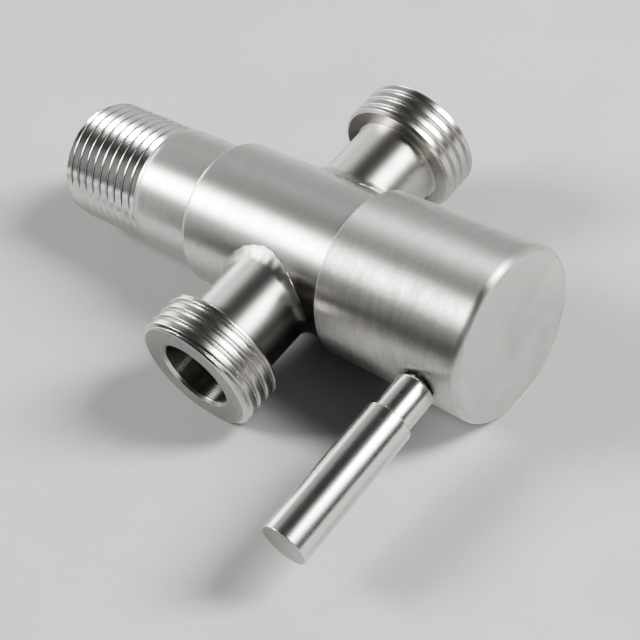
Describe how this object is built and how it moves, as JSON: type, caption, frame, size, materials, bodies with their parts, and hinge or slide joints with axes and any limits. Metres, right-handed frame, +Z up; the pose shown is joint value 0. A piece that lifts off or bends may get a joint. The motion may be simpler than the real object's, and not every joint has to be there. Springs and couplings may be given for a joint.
{
  "type": "three way valve",
  "caption": "Three way angle valve with a male threaded inlet, opposed male threaded outlets and a lever-turned cap over a ceramic disc cartridge.",
  "frame": {"origin": "centre of the inlet's end face, on the main axis, where the valve screws into the supply pipe", "axes": "+X along the main axis from the inlet to the cap's face, +Y along the right outlet, -Y along the left outlet and the lever, +Z up"},
  "size_m": [0.0868, 0.0735, 0.0278],
  "materials": {
    "valve_body": "satin turned stainless steel",
    "outlet_left": "satin turned stainless steel",
    "outlet_right": "satin turned stainless steel",
    "handle_knob": "brushed stainless steel",
    "lever_rod": "fine satin stainless steel",
    "lever_stud": "plain steel",
    "spline_insert": "moulded white",
    "spindle": "machined",
    "spindle_oring_lower": "greased",
    "spindle_oring_upper": "greased",
    "retaining_clip": "spring steel",
    "slip_washer": "smooth white",
    "disc_driver": "moulded white",
    "moving_disc": "lapped ceramic",
    "fixed_disc": "lapped ceramic",
    "disc_cage": "machined",
    "headpiece": "machined",
    "headpiece_oring": "greased",
    "seat_seal": "moulded",
    "seat_ring": "moulded white"
  },
  "bodies": {
    "valve": {"valve_body": "valve_body", "outlet_left": "outlet_left", "outlet_right": "outlet_right", "seat_seal": "seat_seal", "seat_ring": "seat_ring", "fixed_disc": "fixed_disc", "disc_cage": "disc_cage", "headpiece": "headpiece", "headpiece_oring": "headpiece_oring", "slip_washer": "slip_washer"},
    "handle": {"handle_knob": "handle_knob", "lever_rod": "lever_rod", "lever_stud": "lever_stud", "spline_insert": "spline_insert", "spindle": "spindle", "spindle_oring_lower": "spindle_oring_lower", "spindle_oring_upper": "spindle_oring_upper", "retaining_clip": "retaining_clip", "disc_driver": "disc_driver", "moving_disc": "moving_disc"}
  },
  "joints": [
    {"name": "handle_turn", "type": "hinge", "parent": "valve", "child": "handle", "pos_m": [0.0735, 0, 0], "axis": [-1, 0, 0], "range_deg": [0, 90]}
  ]
}
